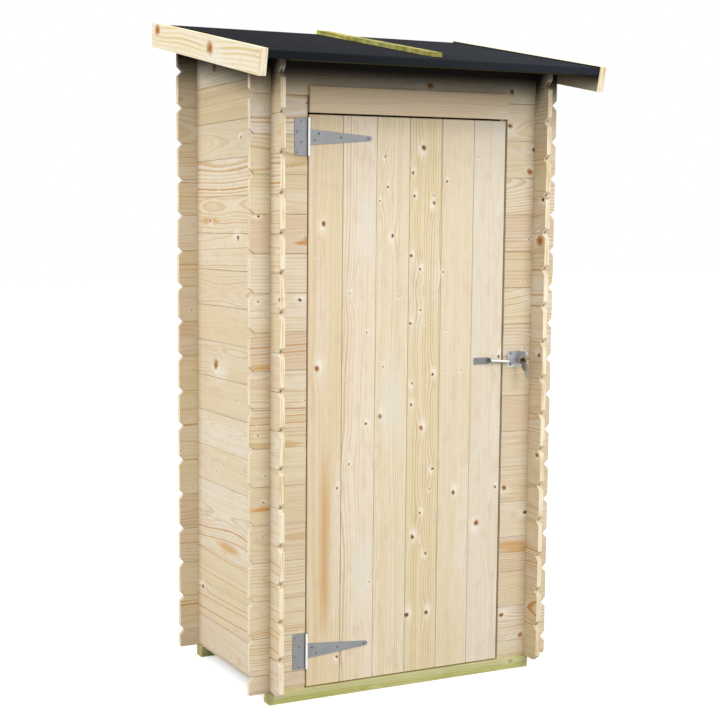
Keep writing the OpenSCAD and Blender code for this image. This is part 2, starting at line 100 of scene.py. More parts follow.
class Shader:
    """A material's node tree, with the few operations that the finishes are written in."""

    def __init__(self, name):
        self.material = bpy.data.materials.new(name)
        self.material.use_nodes = True
        self.tree = self.material.node_tree
        self.surface = self.tree.nodes["Principled BSDF"]

    def add(self, kind, **settings):
        node = self.tree.nodes.new(kind)
        for key, value in settings.items():
            setattr(node, key, value)
        return node

    def feed(self, value, socket):
        if isinstance(value, bpy.types.NodeSocket):
            self.tree.links.new(value, socket)
        else:
            socket.default_value = value

    def math(self, operation, *values):
        node = self.add("ShaderNodeMath", operation=operation)
        for value, socket in zip(values, node.inputs):
            self.feed(value, socket)
        return node.outputs[0]

    def plus(self, a, b):
        return self.math("ADD", a, b)

    def minus(self, a, b):
        return self.math("SUBTRACT", a, b)

    def times(self, a, b):
        return self.math("MULTIPLY", a, b)

    def over(self, a, b):
        return self.math("DIVIDE", a, b)

    def length(self, a, b):
        return self.math("SQRT", self.plus(self.times(a, a), self.times(b, b)))

    def step(self, value, low, high, to_low=0.0, to_high=1.0):
        """Smooth change from to_low to to_high while value goes from low to high."""
        node = self.add("ShaderNodeMapRange", interpolation_type="SMOOTHSTEP")
        for item, socket in zip((value, low, high, to_low, to_high), node.inputs):
            self.feed(item, socket)
        return node.outputs[0]

    def bell(self, value, centre, width):
        """1 at centre, falling to almost 0 at two widths away."""
        offset = self.over(self.minus(value, centre), width)
        return self.math("EXPONENT", self.times(self.times(offset, offset), -1))

    def mix(self, factor, a, b):
        node = self.add("ShaderNodeMix", data_type="RGBA")
        for value, number in zip((factor, a, b), MIX_COLOUR_INPUTS):
            self.feed(value, node.inputs[number])
        return node.outputs[MIX_COLOUR_OUTPUT]

    def mix_value(self, factor, a, b):
        return self.plus(a, self.times(factor, self.minus(b, a)))

    def vector(self, x, y, z):
        node = self.add("ShaderNodeCombineXYZ")
        for value, socket in zip((x, y, z), node.inputs):
            self.feed(value, socket)
        return node.outputs[0]

    def split(self, vector):
        node = self.add("ShaderNodeSeparateXYZ")
        self.feed(vector, node.inputs[0])
        return list(node.outputs)

    def noise(self, vector, scale=1.0, detail=2.0, rough=0.5, output=0):
        node = self.add("ShaderNodeTexNoise")
        self.feed(vector, node.inputs["Vector"])
        node.inputs["Scale"].default_value = scale
        node.inputs["Detail"].default_value = detail
        node.inputs["Roughness"].default_value = rough
        return node.outputs[output]

    def random(self, value):
        """Three random numbers for each value."""
        node = self.add("ShaderNodeTexWhiteNoise", noise_dimensions="1D")
        self.feed(value, node.inputs["W"])
        return self.split(node.outputs["Color"])

    def place(self, turn=None):
        """Coordinates in the object's rest frame, turned about an axis where turn names one."""
        node = self.add("ShaderNodeTexCoord")
        vector = node.outputs["Object"]
        if turn:
            rotate = self.add("ShaderNodeVectorRotate", rotation_type=turn[0] + "_AXIS")
            self.feed(vector, rotate.inputs["Vector"])
            rotate.inputs["Angle"].default_value = turn[1]
            vector = rotate.outputs[0]
        return dict(zip("XYZ", self.split(vector)))

    def normal(self):
        """The three parts of the surface's direction in the object's rest frame."""
        return self.split(self.add("ShaderNodeTexCoord").outputs["Normal"])

    def shine(self, vector, factor):
        """A colour made lighter or darker by a factor."""
        node = self.add("ShaderNodeVectorMath", operation="SCALE")
        self.feed(vector, node.inputs[0])
        self.feed(factor, node.inputs["Scale"])
        return node.outputs[0]

    def nearest(self, u, v, spots, stretch, ahead=0.0, aside=0.0):
        """Distance to the nearest of some knots over its size; stretch is its length over its width,
        and ahead and aside shift its centre by so many sizes, every third one the other way."""
        point = self.vector(self.over(u, stretch), v, 0)
        best = FAR_AWAY
        for count, (along, across, size) in enumerate(spots):
            way = -size if count % 3 == 0 else size
            far = self.add("ShaderNodeVectorMath", operation="DISTANCE")
            self.feed(point, far.inputs[0])
            far.inputs[1].default_value = ((along + ahead * way) / stretch, across + aside * way, 0)
            best = self.math("MINIMUM", best, self.over(far.outputs["Value"], size))
        return best

    def choose(self, row, colours):
        """One of the colours for each row number."""
        ramp = self.add("ShaderNodeValToRGB")
        ramp.color_ramp.interpolation = "CONSTANT"
        points = ramp.color_ramp.elements
        while len(points) < len(colours):
            points.new(0)
        for i, (point, colour) in enumerate(zip(points, colours)):
            point.position = i / len(colours)
            point.color = rgb(colour)
        self.feed(self.over(self.plus(row, 0.5), len(colours)), ramp.inputs[0])
        return ramp.outputs[0]

    def bump(self, height, distance, strength, normal=None):
        node = self.add("ShaderNodeBump")
        node.inputs["Distance"].default_value = distance
        node.inputs["Strength"].default_value = strength
        self.feed(height, node.inputs["Height"])
        if normal:
            self.feed(normal, node.inputs["Normal"])
        return node.outputs[0]


# ---------------------------------------------------------------- wood

# The tones of a wood: early, cool, warm, pink and green are the boards' own, late, streak and flame the
# rings' and the resin's, end and end_line the cut ends', and the rest the knots' and the joints'.
SPRUCE = {
    "early": rgb("E7DABF"), "cool": rgb("EBE2D2"), "warm": rgb("E2D0A8"), "pink": rgb("DCC6AF"),
    "green": rgb("DCD3AE"), "late": rgb("CCAE7E"), "streak": rgb("C88E4E"), "flame": rgb("CF9D58"),
    "end": rgb("F7ECD0"), "end_line": rgb("CFA05A"), "knot": rgb("74502E"), "heart": rgb("3E2814"),
    "amber": rgb("C08A50"), "halo": rgb("F6F0E3"), "joint": rgb("7C6A4C"),
}
TREATED = {
    "early": rgb("C6C282"), "cool": rgb("D6D49E"), "warm": rgb("B5AE60"), "pink": rgb("B2AC62"),
    "green": rgb("BFC07C"), "late": rgb("A5A154"), "streak": rgb("8C8840"), "flame": rgb("8C8840"),
    "end": rgb("C4BC78"), "end_line": rgb("A09A50"), "knot": rgb("8C6234"), "heart": rgb("5E4020"),
    "amber": rgb("A67A40"), "halo": rgb("DAD8A8"), "joint": rgb("5B5630"),
}
# Near-black tones for the roof boards: painted shade on their underside under the roof.
PAINTED_SHADE_TONES = {
    "early": rgb("2C2822"), "cool": rgb("302C26"), "warm": rgb("26221C"), "pink": rgb("28231E"),
    "green": rgb("28261F"), "late": rgb("1E1A16"), "streak": rgb("1A1612"), "flame": rgb("1A1612"),
    "end": rgb("2A2620"), "end_line": rgb("1E1A16"), "knot": rgb("15110D"), "heart": rgb("0E0B08"),
    "amber": rgb("1A140E"), "halo": rgb("322E28"), "joint": rgb("0C0A08"),
}
PALE = dict(SPRUCE, early=rgb("F3EAD2"), cool=rgb("F5EEDD"), warm=rgb("EEE1BE"), pink=rgb("EEDDC4"),
            late=rgb("DFCB97"), streak=rgb("DABF85"))


def deeper(tones, *factors):
    """The same tones with their red, green and blue brought down."""
    return {part: tuple(f * c for f, c in zip(factors, tone)) + (1,) for part, tone in tones.items()}


# A pitch and start that make the whole shed one board, and a row number that no board has.
ONE_BOARD = 10.0
BEFORE_ALL = -5.0
NO_ROW = -9
WIDEST = 0.12

# The cells that hold one chance knot at most, along and across, and the knots' least and most radius.
# A knot of BIG_KNOT or more has rings about it, a smaller one than FLOW_KNOT bends the grain as that
# one does, and RAGGED is how far the outline of a listed knot wanders.
KNOT_SIZES = (0.003, 0.011)
PIN_KNOT_CELL = (0.13, 0.05)
PIN_SIZES = (0.0014, 0.003)
GHOST_CELL = (0.30, 0.08)
GHOST_SIZES = (0.005, 0.010)
BIG_KNOT = 0.008
FLOW_KNOT = 0.006
RAGGED = 0.010
WOOD_GLOSS = 0.1

# The shade under the roof: where log ends stand in front of it, and how far its soft part reaches.
ROOF_EDGE = Vector((0, ROOF[0].y, ROOF[0].z))
STUB_FRONT = SIDE_LOG[0].y
STUB_BACK = FRONT_SHORT[0].y
STUB_LIFT = 0.07
DARKEST = 0.015
SOFT_SHADE = 0.85
SOFT_REACH = 0.5
# Factors on the colour of log chamfers: painted shade on those that face up, painted light on those that
# face down.
UP_SLOPE_SHADE = 0.88
DOWN_SLOPE_LIGHT = 1.12


class Timber(Shader):
    """Sawn boards: grain and across name the axes along and across a board, start and pitch divide
    the boards, and face is the place of the outer face on the third axis."""

    def __init__(self, name, grain, across, seed, pitch=ONE_BOARD, start=BEFORE_ALL, face=0.0,
                 turn=None, tones=SPRUCE):
        super().__init__(name)
        self.tones = tones
        self.pitch = pitch
        self.first = start
        self.eye = 0.0
        self.push = 0.0
        self.width = min(pitch, WIDEST)
        at = self.place(turn)
        self.grain = grain
        self.along = at[grain]
        self.across = at[across]
        self.depth = at[next(a for a in "XYZ" if a not in (grain, across))]
        self.behind = self.math("ABSOLUTE", self.minus(self.depth, face))
        offset = self.minus(self.across, start)
        self.row = self.math("FLOOR", self.over(offset, pitch))
        self.inside = self.minus(offset, self.times(self.row, pitch))
        self.board = self.plus(self.row, seed * 17.0)
        self.luck = [n for shift in (0, 0.37, 0.71, 0.93)
                     for n in self.random(self.plus(self.board, shift))]
        self.slide = self.plus(self.along, self.times(self.luck[0], 37.0))
        self.fine = self.noise(self.vector(self.times(self.slide, 10), self.times(self.inside, 380),
                                           self.times(self.depth, 380)), detail=2, rough=0.6)
        ragged = self.noise(self.vector(self.times(self.slide, 0.7), self.inside, self.board),
                            scale=110, detail=1, output="Color")
        bend = self.split(ragged)
        self.knot_u = self.plus(self.along, self.times(self.minus(bend[0], 0.5), RAGGED))
        self.knot_v = self.plus(self.across, self.times(self.minus(bend[1], 0.5), RAGGED))

    def tint(self, tints, rosy):
        """Each board's own tone, more or less rosy, with soft clouds and blotches."""
        luck = self.luck
        if tints:
            colour = self.choose(self.row, tints)
        else:
            colour = self.mix(self.step(luck[1], 0.4, 1.0, 0.0, 0.9), self.tones["early"],
                              self.tones["cool"])
            colour = self.mix(self.step(luck[2], 0.5, 1.0, 0.0, 0.65), colour, self.tones["warm"])
            colour = self.mix(self.step(luck[3], 0.5, 1.0, 0.0, rosy), colour, self.tones["pink"])
        cloud = self.noise(self.vector(self.times(self.slide, 2.0), self.times(self.inside, 14),
                                       self.times(self.board, 1.7)), detail=2)
        blotch = self.noise(self.vector(self.times(self.slide, 16), self.times(self.inside, 34),
                                        self.times(self.board, 2.9)), detail=2)
        colour = self.mix(self.step(cloud, 0.5, 0.75, 0.0, 0.5), colour, self.tones["warm"])
        colour = self.mix(self.step(cloud, 0.46, 0.28, 0.0, 0.6), colour, self.tones["cool"])
        colour = self.mix(self.step(blotch, 0.52, 0.72, 0.0, 0.45), colour, self.tones["pink"])
        self.colour = self.mix(self.step(blotch, 0.48, 0.28, 0.0, 0.4), colour, self.tones["green"])

    def scatter(self, chance, cell, size):
        """Chance knots, one candidate in each cell: how near it is over its size, and its luck."""
        grid = self.add("ShaderNodeTexVoronoi", voronoi_dimensions="2D", feature="F1")
        u = self.over(self.slide, cell[0])
        v = self.plus(self.over(self.inside, cell[1]), self.times(self.board, 5.0))
        self.feed(self.vector(u, v, 0), grid.inputs["Vector"])
        grid.inputs["Scale"].default_value = 1.0
        grid.inputs["Randomness"].default_value = 0.85
        spot = self.split(grid.outputs["Position"])
        luck = self.split(grid.outputs["Color"])
        du = self.times(self.minus(u, spot[0]), cell[0])
        dv = self.times(self.minus(v, spot[1]), cell[1])
        kept = self.math("LESS_THAN", luck[0], self.times(self.plus(self.luck[4], 0.3), chance))
        radius = self.plus(size[0], self.times(self.times(luck[1], luck[1]), size[1] - size[0]))
        missed = self.times(self.minus(1.0, kept), FAR_AWAY)
        near = self.over(self.length(self.times(du, 0.75), dv), radius)
        flow = self.over(self.length(self.times(du, 0.33), dv), radius)
        tail = self.over(self.length(self.times(self.plus(du, radius), 0.5), self.plus(dv, 0.001)),
                         radius)
        return [self.plus(n, missed) for n in (near, flow, tail)] + [luck[2]]

    def collect(self, chance, cell, spots):
        """All knots of the material: chance ones and those given in a list."""
        self.near, flow, self.tail, self.kind = self.scatter(chance, cell, KNOT_SIZES)
        if spots:
            places = self.places(spots)
            large = [place for place in places if place[2] >= BIG_KNOT]
            hand = self.nearest(self.knot_u, self.knot_v, places, 1.15)
            big = self.nearest(self.knot_u, self.knot_v, large, 1.1)
            amber = self.math("LESS_THAN", big, 3.0)
            self.eye = self.math("MAXIMUM", self.bell(big, 2.1, 0.16), self.bell(big, 3.0, 0.13))
            self.kind = self.mix_value(self.math("LESS_THAN", hand, self.near), self.kind, amber)
            self.near = self.math("MINIMUM", self.near, hand)
            wide = [(up, off, max(size, FLOW_KNOT)) for up, off, size in places]
            flow = self.math("MINIMUM", flow, self.nearest(self.along, self.across, wide, 3.0))
            self.tail = self.math("MINIMUM", self.tail,
                                  self.nearest(self.along, self.across, places, 1.7, 1.0, 0.9))
        self.push = self.times(self.bell(flow, 0.0, 2.8), 0.012)

    def places(self, spots):
        """Spots given by board, off its middle, along it and size, as along, across and size."""
        return [(up, self.first + (board + 0.5) * self.pitch + off, size)
                for board, off, up, size in spots]

    def pith_distance(self, wave):
        """Distance from a pith that lies behind the outer face and wanders along the board."""
        luck = self.luck
        drift = self.noise(self.vector(self.times(self.slide, 1.1), self.times(self.board, 3.1), 0),
                           detail=1)
        sway = self.noise(self.vector(self.times(self.slide, 1.7), 5.5, self.times(self.board, 2.3)),
                          detail=1)
        aside = self.plus(self.times(self.minus(luck[5], 0.5), self.width * 1.8),
                          self.times(self.minus(drift, 0.5), 0.07 * wave))
        below = self.plus(self.plus(0.010, self.times(luck[6], 0.06)),
                          self.times(self.minus(sway, 0.5), 0.09 * wave))
        dx = self.minus(self.minus(self.inside, self.width / 2), aside)
        dy = self.plus(self.behind, below)
        fibre = self.noise(self.vector(self.times(self.slide, 5), self.times(self.inside, 45),
                                       self.times(self.depth, 45)), detail=3)
        return self.plus(self.plus(self.length(dx, dy), self.push),
                         self.times(self.minus(fibre, 0.5), 0.005))

    def rings(self, ring, lines, wave, bold):
        """Growth rings about the pith, ring wide on average; the board numbered bold shows them most."""
        luck = self.luck
        radius = self.pith_distance(wave)
        count = self.over(radius, self.plus(ring * 0.7, self.times(luck[7], ring * 0.9)))
        phase = self.math("FRACT", count)
        each = self.random(self.plus(self.math("FLOOR", count), self.times(self.board, 91.0)))
        late = self.times(self.step(phase, 0.2, 0.85), self.step(phase, 0.88, 1.0, 1.0, 0.0))
        late = self.times(late, self.plus(0.15, self.times(each[1], 0.85)))
        figure = self.plus(0.38, self.times(self.times(luck[8], luck[8]), 0.62))
        figure = self.plus(figure, self.math("COMPARE", self.row, bold, 0.1))
        strong = self.times(self.step(each[0], 0.5, 1.0), self.step(luck[9], 0.3, 0.9))
        self.colour = self.mix(self.times(self.times(late, figure), 0.8 * lines), self.colour,
                               self.tones["late"])
        self.colour = self.mix(self.times(self.times(late, strong), 0.85 * lines), self.colour,
                               self.tones["streak"])
        self.colour = self.mix(self.step(self.fine, 0.4, 0.7, 0.0, 0.14), self.colour,
                               self.tones["late"])
        self.late = late

    def paint_knots(self):
        """Pale wood to one side, a dark or amber knot, its rim and its heart."""
        tones = self.tones
        patch = self.noise(self.vector(self.times(self.slide, 9), self.times(self.inside, 25),
                                       self.times(self.board, 1.9)), detail=1)
        brown = self.mix(self.step(self.kind, 0.55, 0.7), tones["knot"], tones["amber"])
        brown = self.mix(self.step(patch, 0.5, 0.62, 0.0, 0.6), brown, tones["amber"])
        pale = self.times(self.bell(self.tail, 0.0, 2.1), 0.85)
        stain = self.times(self.bell(self.near, 0.85, 0.5), self.step(patch, 0.3, 0.6, 0.2, 0.8))
        knot = self.step(self.near, 0.65, 1.05, 1.0, 0.0)
        heart = self.times(self.step(self.near, 0.2, 0.85, 1.0, 0.0), 0.9)
        self.colour = self.mix(pale, self.colour, tones["halo"])
        self.colour = self.mix(self.times(self.eye, 0.5), self.colour, tones["late"])
        self.colour = self.mix(stain, self.colour, tones["amber"])
        self.colour = self.mix(self.times(knot, 0.9), self.colour, brown)
        self.colour = self.mix(heart, self.colour, self.mix(0.5, brown, tones["heart"]))
        self.knot = knot

    def paint_pins(self, chance):
        """Pin knots: tiny brown dots in a pale patch."""
        near, _, tail, _ = self.scatter(chance, PIN_KNOT_CELL, PIN_SIZES)
        self.colour = self.mix(self.times(self.bell(tail, 0.0, 2.2), 0.5), self.colour,
                               self.tones["halo"])
        self.colour = self.mix(self.times(self.step(near, 0.7, 1.3, 1.0, 0.0), 0.75), self.colour,
                               self.tones["knot"])

    def paint_flames(self, flames):
        """Broad orange streaks of resin-rich wood."""
        near = self.nearest(self.along, self.across, self.places(flames), 6.0)
        streak = self.times(self.step(near, 0.4, 1.7, 1.0, 0.0),
                            self.plus(0.5, self.times(self.plus(self.late, self.fine), 0.35)))
        self.colour = self.mix(streak, self.colour, self.tones["flame"])

    def paint_ghosts(self, chance):
        """Planed-over knots: a thin pinkish outline about pale wood."""
        _, ghost, _, _ = self.scatter(chance, GHOST_CELL, GHOST_SIZES)
        self.colour = self.mix(self.step(ghost, 0.5, 1.0, 0.2, 0.0), self.colour, self.tones["halo"])
        self.colour = self.mix(self.times(self.bell(ghost, 1.0, 0.14), 0.42), self.colour,
                               self.tones["late"])

    def paint_ends(self):
        """Cut ends: yellower, with the rings' lines upright."""
        end = self.step(self.math("ABSOLUTE", self.normal()["XYZ".index(self.grain)]), 0.6, 0.9)
        line = self.noise(self.vector(self.times(self.behind, 240), self.times(self.inside, 9),
                                      self.times(self.board, 1.3)), detail=2)
        grown = self.mix(self.step(line, 0.48, 0.66, 0.0, 0.8), self.tones["end"],
                         self.tones["end_line"])
        self.colour = self.mix(self.times(end, 0.85), self.colour, grown)

    def paint_joints(self, width, strength):
        """A soft dark line where two boards meet, some joints tighter than others."""
        edge = self.math("MINIMUM", self.inside, self.minus(self.pitch, self.inside))
        side = self.math("FLOOR", self.plus(self.over(self.inside, self.pitch), 0.5))
        tight = self.random(self.plus(self.plus(self.board, side), 0.53))[0]
        joint = self.times(self.step(edge, width * 0.15, width, 1.0, 0.0),
                           self.plus(0.35, self.times(tight, 0.65)))
        self.colour = self.mix(self.times(joint, strength), self.colour, self.tones["joint"])

    def below_roof(self, at):
        """Distance below the roof boards' underside, which rises to the rear."""
        plane = self.plus(self.times(self.minus(at["Y"], ROOF_EDGE.y), math.tan(ROOF_PITCH)),
                          ROOF_EDGE.z)
        return self.minus(plane, at["Z"])

    def darken(self, near, far):
        """The dark zone close under the roof and the soft shade below it. Log ends that stand out in
        front are lit further up."""
        at = self.place()
        ahead = self.step(at["Y"], STUB_FRONT, STUB_BACK, STUB_LIFT, 0.0)
        below = self.plus(self.below_roof(at), ahead)
        left = self.times(self.step(below, near, far, DARKEST, 1.0),
                          self.step(below, far * 0.6, SOFT_REACH, SOFT_SHADE, 1.0))
        self.colour = self.shine(self.colour, left)

    def paint_slope_light_and_shade(self):
        """Painted shade on chamfers that face up, and painted light on those that face down."""
        up = self.normal()[2]
        self.colour = self.shine(self.colour, self.step(up, 0.4, 0.65, 1.0, UP_SLOPE_SHADE))
        self.colour = self.shine(self.colour, self.step(up, -0.65, -0.4, DOWN_SLOPE_LIGHT, 1.0))

    def finish(self):
        self.feed(self.colour, self.surface.inputs["Base Color"])
        self.feed(self.plus(0.58, self.times(self.fine, 0.2)), self.surface.inputs["Roughness"])
        self.surface.inputs["Specular IOR Level"].default_value = WOOD_GLOSS
        relief = self.bump(self.fine, 0.0003, 0.3)
        relief = self.bump(self.minus(self.late, self.times(self.knot, 0.6)), 0.0005, 0.4, relief)
        self.feed(relief, self.surface.inputs["Normal"])
        return self.material


def wood(name, grain, across, seed, ring=0.0065, lines=1.0, wave=1.0, bold=NO_ROW, knots=0.12,
         cell=(0.22, 0.09), pins=0.15, ghosts=0.1, spots=(), flames=(), tints=(), rosy=0.75, tone=1.0,
         joint=(0.0014, 0.5), shade=None, extra=None, **layout):
    """A finished wood. Knots, pins and ghosts are the chances of each kind, lines the rings' strength,
    wave how far they wander, and extra a function that paints what is particular to the piece."""
    s = Timber(name, grain, across, seed, **layout)
    s.collect(knots, cell, spots)
    s.tint(tints, rosy)
    s.rings(ring, lines, wave, bold)
    if flames:
        s.paint_flames(flames)
    s.paint_ghosts(ghosts)
    s.paint_knots()
    s.paint_pins(pins)
    s.colour = s.shine(s.colour, tone)
    if extra:
        extra(s)
    s.paint_ends()
    s.paint_joints(*joint)
    if shade:
        s.darken(*shade)
        s.paint_slope_light_and_shade()
    return s.finish()


# ---------------------------------------------------------------- felt and metal

# Factors on the felt's colour: a painted sheen from left to right, and painted light on front faces.
FELT_SHEEN_LEFT = 0.52
FELT_SHEEN_RIGHT = 1.16
FELT_FRONT_LIGHT = 1.5
FELT_GLOSS = 0.05


def felt():
    """Mineral-surfaced roofing felt: dark blue-grey granules, with a painted sheen that is lighter to the
    right, and painted light on the faces that look to the front.
    """
    s = Shader("felt")
    at = s.place()
    spot = s.vector(at["X"], at["Y"], at["Z"])
    grit = s.noise(spot, scale=900, detail=2, rough=0.7)
    cloud = s.noise(spot, scale=7, detail=3)
    colour = s.mix(s.step(grit, 0.3, 0.75), rgb("15181C"), rgb("2B2E33"))
    colour = s.mix(s.step(cloud, 0.35, 0.7, 0.0, 0.5), colour, rgb("1D2026"))
    colour = s.shine(colour, s.step(at["X"], ROOF[0].x, ROOF[1].x, FELT_SHEEN_LEFT, FELT_SHEEN_RIGHT))
    colour = s.shine(colour, s.step(s.normal()[1], -0.9, -0.6, FELT_FRONT_LIGHT, 1.0))
    s.feed(colour, s.surface.inputs["Base Color"])
    s.feed(s.plus(0.82, s.times(grit, 0.15)), s.surface.inputs["Roughness"])
    s.surface.inputs["Specular IOR Level"].default_value = FELT_GLOSS
    s.feed(s.bump(grit, 0.0008, 0.6), s.surface.inputs["Normal"])
    return s.material


def steel(name, dark, light, rough, metal, bright=None):
    """Galvanised or zinc-plated steel: soft mottling, fine scratches. Bright takes the shader and gives
    the part of the surface that is polished rod or barrel, and the colour with the painted highlight,
    light or shade that it adds."""
    s = Shader(name)
    at = s.place()
    spot = s.vector(at["X"], at["Y"], at["Z"])
    cloud = s.noise(spot, scale=45, detail=3)
    scratch = s.noise(s.vector(s.times(at["X"], 300), at["Y"], s.times(at["Z"], 2500)), detail=2)
    colour = s.mix(s.step(cloud, 0.3, 0.7), rgb(dark), rgb(light))
    worn = s.plus(rough, s.times(s.minus(cloud, 0.5), 0.12))
    worn = s.plus(worn, s.times(s.minus(scratch, 0.5), 0.1))
    if bright:
        rod, colour = bright(s, at, colour)
        worn = s.minus(worn, s.times(rod, 0.25))
    s.feed(colour, s.surface.inputs["Base Color"])
    s.surface.inputs["Metallic"].default_value = metal
    s.feed(worn, s.surface.inputs["Roughness"])
    s.feed(s.bump(scratch, 0.0001, 0.25), s.surface.inputs["Normal"])
    return s.material


def rod_highlight_and_shade(s, rod, colour, lit, edge):
    """A drawn rod or barrel: a painted highlight in front, and painted shade along its two sides."""
    facing = s.step(s.times(s.normal()[1], -1.0), edge, edge + 0.25)
    return rod, s.mix(rod, colour, s.mix(facing, rgb("3A3C3E"), lit))


def hinge_barrel(s, at, colour):
    """The knuckles, by their distance from the pin, with a painted highlight and painted shade."""
    far = s.length(s.minus(at["X"], HINGE.x), s.minus(at["Y"], HINGE.y))
    return rod_highlight_and_shade(s, s.step(far, KNUCKLE_R + 0.0001, KNUCKLE_R + 0.0005, 1.0, 0.0), colour,
                    rgb("F0F1F2"), 0.35)


def bar_shank(s, at, colour):
    """The round bar, by its distance from its falling axis, with a painted highlight that is dimmer where
    it runs over the keep.
    """
    axis = s.minus(BAR_ROOT.z, s.times(s.minus(at["X"], BAR_ROOT.x), BAR_FALL))
    far = s.length(s.minus(at["Y"], BAR_ROOT.y), s.minus(at["Z"], axis))
    rod = s.times(s.step(far, BAR_R + 0.0001, BAR_R + 0.0006, 1.0, 0.0),
                  s.math("GREATER_THAN", at["X"], BAR_ROOT.x + STRIKE_T))
    held = s.step(at["X"], KEEP[0].x - 0.002, KEEP[0].x + 0.004)
    lit = s.mix(held, rgb("F4F5F6"), rgb("A3A6A6"))
    return rod_highlight_and_shade(s, rod, colour, lit, 0.4)


# Factors on the colour: painted light on the keep plate's lower half, painted shade on the arm in the
# keep's mouth.
FOOT_LIGHT = 1.75
MOUTH_SHADE = 0.8


def keep_foot_light(s, at, colour):
    """The keep plate's lower half, made brighter below the bar with painted light."""
    gain = s.step(at["Z"], SEAT - 0.004, SEAT + 0.004, FOOT_LIGHT, 1.0)
    return 0.0, s.shine(colour, gain)


def arm_shadow(s, at, colour):
    """The arm's inner face, dark where it closes the keep's mouth."""
    height = s.minus(at["Z"], SEAT)
    mouth = s.times(s.step(height, 0.0, 0.003), s.step(height, 0.010, 0.015, 1.0, 0.0))
    inner = s.step(s.normal()[0], -0.8, -0.5, 1.0, 0.0)
    return 0.0, s.shine(colour, s.minus(1.0, s.times(s.times(mouth, inner), MOUTH_SHADE)))


# ---------------------------------------------------------------- materials on the CAD nodes

# How far below the roof boards' underside the darkest shade ends, and how far down it is gone. The
# door lies below that zone and takes only the soft shade.
FRONT_SHADE = (0.032, 0.108)
SIDE_SHADE = (0.047, 0.158)
REAR_SHADE = (0.050, 0.200)
DOOR_SHADE = (-0.1, 0.05)

# Knots that stand out: board or log, distance above its middle line (right of it on the door),
# place along the board, radius. The flames and the door's bleached patches are given likewise. The
# barge board's are counted from the frame's origin, turned to the roof's slope.
DOOR_KNOTS = (
    (0, -0.006, 1.43, 0.0057), (0, -0.026, 1.005, 0.0068), (0, 0.044, 0.64, 0.0038),
    (0, 0.047, 0.119, 0.0038), (1, 0.028, 1.105, 0.0029), (1, 0.028, 0.83, 0.0038),
    (1, 0.043, 0.34, 0.0029), (1, -0.03, 1.225, 0.0029), (1, -0.03, 0.71, 0.0029),
    (2, -0.03, 1.63, 0.0029), (2, -0.019, 1.54, 0.0029), (2, -0.047, 1.5, 0.0029),
    (2, 0.0, 1.395, 0.0048), (2, -0.029, 1.0, 0.0029), (2, -0.038, 0.85, 0.0057),
    (3, -0.009, 1.66, 0.0066), (3, -0.046, 1.585, 0.0038), (3, -0.039, 1.515, 0.0038),
    (3, 0.029, 1.495, 0.0048), (3, -0.049, 1.335, 0.0038), (3, -0.017, 1.295, 0.0038),
    (3, -0.015, 1.17, 0.0029), (3, -0.049, 1.13, 0.0038), (3, 0.031, 0.97, 0.0048),
    (3, -0.041, 0.945, 0.0038), (3, -0.043, 0.88, 0.0038), (3, -0.006, 0.805, 0.0057),
    (3, 0.036, 0.675, 0.0038), (3, -0.006, 0.54, 0.0038), (3, -0.033, 0.465, 0.0057),
    (3, 0.015, 0.41, 0.0038), (3, 0.021, 0.22, 0.0057), (3, -0.049, 0.22, 0.0057),
    (4, -0.05, 1.285, 0.0029), (4, -0.04, 1.56, 0.0029), (4, 0.0, 0.595, 0.0057),
    (5, -0.026, 0.49, 0.0071), (5, 0.043, 0.6, 0.0038), (5, 0.046, 1.017, 0.0048),
)
DOOR_PALE = ((1, 0.02, 1.42, 0.028), (2, 0.0, 0.90, 0.035), (1, 0.02, 0.38, 0.03))
LEFT_KNOTS = (
    (8, -0.017, 0.166, 0.016), (11, 0.044, -0.005, 0.007), (14, 0.003, -0.027, 0.004),
    (12, -0.019, 0.21, 0.005), (1, 0.038, 0.277, 0.006), (16, 0.0, 0.173, 0.013),
)
FRONT_LEFT_KNOTS = ((10, 0.032, -0.506, 0.003), (10, 0.035, -0.37, 0.005), (5, 0.013, -0.487, 0.0025))
FRONT_RIGHT_KNOTS = (
    (15, -0.011, 0.357, 0.007), (14, 0.032, 0.449, 0.006), (14, -0.037, 0.435, 0.008),
    (5, -0.01, 0.361, 0.007), (1, 0.031, 0.36, 0.006), (1, -0.044, 0.435, 0.008),
    (4, 0.019, 0.444, 0.006),
)
TOP_LOG_KNOTS = ((16, -0.014, 0.065, 0.009), (16, -0.021, 0.361, 0.007))
RIGHT_KNOTS = (
    (12, 0.048, -0.284, 0.007), (11, 0.034, -0.273, 0.013), (8, 0.017, -0.282, 0.006),
    (5, 0.04, -0.283, 0.006),
)
BARGE_KNOTS = ((0, 1.914, 0.335, 0.018), (0, 1.929, 0.771, 0.016))
LEFT_FLAMES = ((12, -0.019, 0.21, 0.010), (3, -0.02, 0.07, 0.012))
FRONT_LEFT_FLAMES = ((9, -0.046, -0.489, 0.007), (5, -0.009, -0.488, 0.007))
FRONT_RIGHT_FLAMES = ((3, 0.03, 0.39, 0.011), (3, 0.016, 0.43, 0.010))
DOOR_TINTS = ("E7D6B6", "EDE0CB", "ECDFC5", "E7D9B6", "E9DBC1", "E6DCCB")


def give(material, *names):
    """Puts a finish on whole nodes of the CAD model."""
    for name in names:
        slots = NODES[name].data.materials
        slots.clear()
        slots.append(material)
        for polygon in NODES[name].data.polygons:
            polygon.material_index = 0


